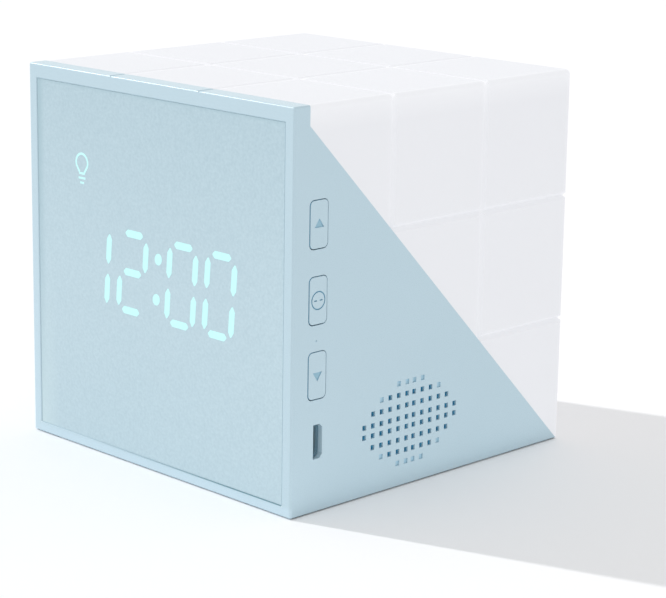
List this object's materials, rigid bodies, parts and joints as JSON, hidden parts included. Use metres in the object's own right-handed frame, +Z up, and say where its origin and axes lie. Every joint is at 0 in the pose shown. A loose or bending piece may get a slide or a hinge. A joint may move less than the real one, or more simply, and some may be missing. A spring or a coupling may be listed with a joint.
{
  "type": "cube alarm clock",
  "caption": "Cube alarm clock with a glowing digital display, side keys, speaker grille, charging inlet and a frosted night-light shade over a sloping base.",
  "frame": {"origin": "centre of the footprint, on the plane that the feet stand on", "axes": "+Z up, -Y out of the display, +X out of the cheek with the keys"},
  "size_m": [0.09, 0.09, 0.09],
  "materials": {
    "base_blue": "pale blue moulded plastic, fine matt grain",
    "panel_blue": "pale blue translucent panel, matt, slightly darker than the frame",
    "shade_white": "frosted white translucent plastic",
    "film_white": "thin white diffusing film",
    "mask_white": "opaque white plastic",
    "part_black": "black moulded plastic",
    "board_green": "green solder resist on glass-fibre board",
    "lamp_aluminium": "white-coated aluminium board",
    "chip_yellow": "yellow phosphor over a lamp chip",
    "led_clear": "clear resin over a small light",
    "screw_steel": "zinc-plated steel",
    "magnet_steel": "nickel-plated magnet",
    "cone_black": "coated paper cone",
    "coil_copper": "enamelled copper wire",
    "gasket_black": "closed-cell foam",
    "foot_rubber": "pale grey rubber",
    "battery_silver": "laminated foil pouch",
    "tape_grey": "adhesive foam tape",
    "lead_red": "insulated lead"
  },
  "bodies": {
    "case": {"base_housing": "base_blue", "front_panel": "panel_blue", "lamp_shade": "shade_white", "display_film": "film_white", "digit_mask": "mask_white", "segment_leds": "led_clear", "main_board": "board_green", "control_chips": "part_black", "lead_sockets": "mask_white", "switch_bodies": "part_black", "charging_socket_shell": "screw_steel", "charging_socket_tongue": "part_black", "speaker_gasket": "gasket_black", "speaker_basket": "magnet_steel", "speaker_magnet": "magnet_steel", "speaker_washers": "screw_steel", "speaker_screws": "screw_steel", "battery_cell": "battery_silver", "battery_tape": "tape_grey", "lamp_tray": "mask_white", "lamp_board": "lamp_aluminium", "lamp_chips": "chip_yellow", "battery_leads": "lead_red", "speaker_leads": "lead_red", "lamp_leads": "lead_red", "rubber_feet": "foot_rubber", "board_screws": "screw_steel", "tray_screws": "screw_steel", "shade_screws": "screw_steel"},
    "up_key": {"up_button": "base_blue", "up_plunger": "mask_white"},
    "mode_key": {"mode_button": "base_blue", "mode_plunger": "mask_white"},
    "down_key": {"down_button": "base_blue", "down_plunger": "mask_white"},
    "speaker_diaphragm": {"speaker_cone": "cone_black", "voice_coil": "coil_copper"}
  },
  "joints": [
    {"name": "up_press", "type": "slide", "parent": "case", "child": "up_key", "axis": [-1, 0, 0], "range_m": [0, 0.0005], "stiffness_N_per_m": 2000, "springref_m": -0.00025},
    {"name": "mode_press", "type": "slide", "parent": "case", "child": "mode_key", "axis": [-1, 0, 0], "range_m": [0, 0.0005], "stiffness_N_per_m": 2000, "springref_m": -0.00025},
    {"name": "down_press", "type": "slide", "parent": "case", "child": "down_key", "axis": [-1, 0, 0], "range_m": [0, 0.0005], "stiffness_N_per_m": 2000, "springref_m": -0.00025},
    {"name": "cone_stroke", "type": "slide", "parent": "case", "child": "speaker_diaphragm", "axis": [1, 0, 0], "range_m": [-0.0004, 0.0004], "stiffness_N_per_m": 1500}
  ]
}
